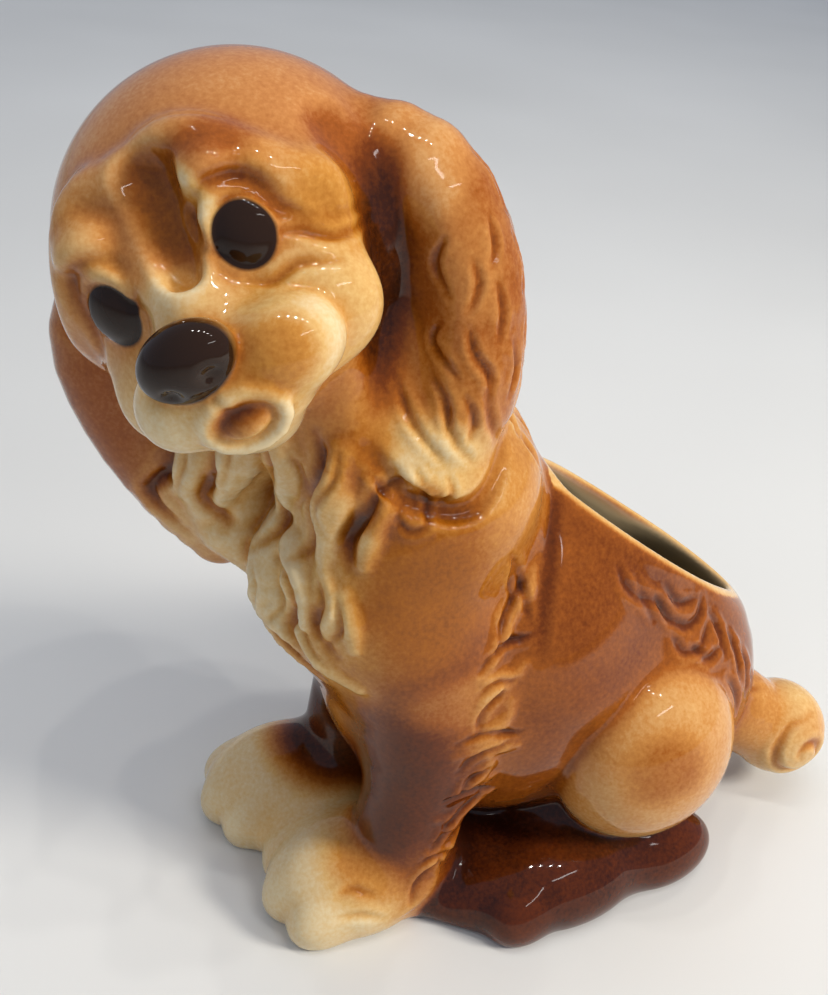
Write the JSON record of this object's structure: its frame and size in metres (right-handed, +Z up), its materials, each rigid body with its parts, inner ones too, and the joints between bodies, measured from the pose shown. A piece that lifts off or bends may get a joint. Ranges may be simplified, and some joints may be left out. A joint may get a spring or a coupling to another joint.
{
  "type": "dog figurine planter",
  "caption": "Glazed earthenware sitting spaniel with tilted head, long ears and an open planting pocket in its back.",
  "frame": {"origin": "on the table surface, under the middle of the body, at the centre of the base's flat underside", "axes": "+Z up from the table, -Y towards the dog's chest and forepaws, +X towards the dog's left flank, the side its face turns to"},
  "size_m": [0.1117, 0.2067, 0.2054],
  "materials": {
    "glaze_rust": "glossy translucent glaze over sprayed rust brown",
    "glaze_rim": "glossy glaze worn thin over buff clay",
    "glaze_ochre": "glossy glaze over sprayed ochre with fine dark specks",
    "glaze_cream": "glossy cream glaze with amber pooled in the grooves",
    "glaze_tan": "glossy glaze over tan shaded to pinkish brown",
    "glaze_black": "glossy near-black brown enamel",
    "glaze_brown": "glossy dark mahogany glaze"
  },
  "bodies": {
    "root": {"planter_body": "glaze_rust", "pocket_rim": "glaze_rim", "chest": "glaze_ochre", "neck": "glaze_ochre", "chest_ruff": "glaze_cream", "throat_ruff": "glaze_cream", "head": "glaze_tan", "muzzle": "glaze_cream", "chin": "glaze_cream", "nose": "glaze_black", "tongue": "glaze_brown", "eye_left": "glaze_black", "eye_right": "glaze_black", "brow_left": "glaze_tan", "brow_right": "glaze_tan", "cheek_left": "glaze_cream", "cheek_right": "glaze_cream", "ear_left": "glaze_rust", "ear_right": "glaze_rust", "foreleg_left": "glaze_brown", "foreleg_right": "glaze_brown", "forepaw_left": "glaze_cream", "forepaw_right": "glaze_cream", "haunch_left": "glaze_tan", "haunch_right": "glaze_tan", "hind_foot_left": "glaze_brown", "hind_foot_right": "glaze_brown", "flank_locks_left": "glaze_ochre", "flank_locks_right": "glaze_ochre", "base": "glaze_brown", "tail_root": "glaze_tan", "tail_curl": "glaze_cream"}
  },
  "joints": []
}
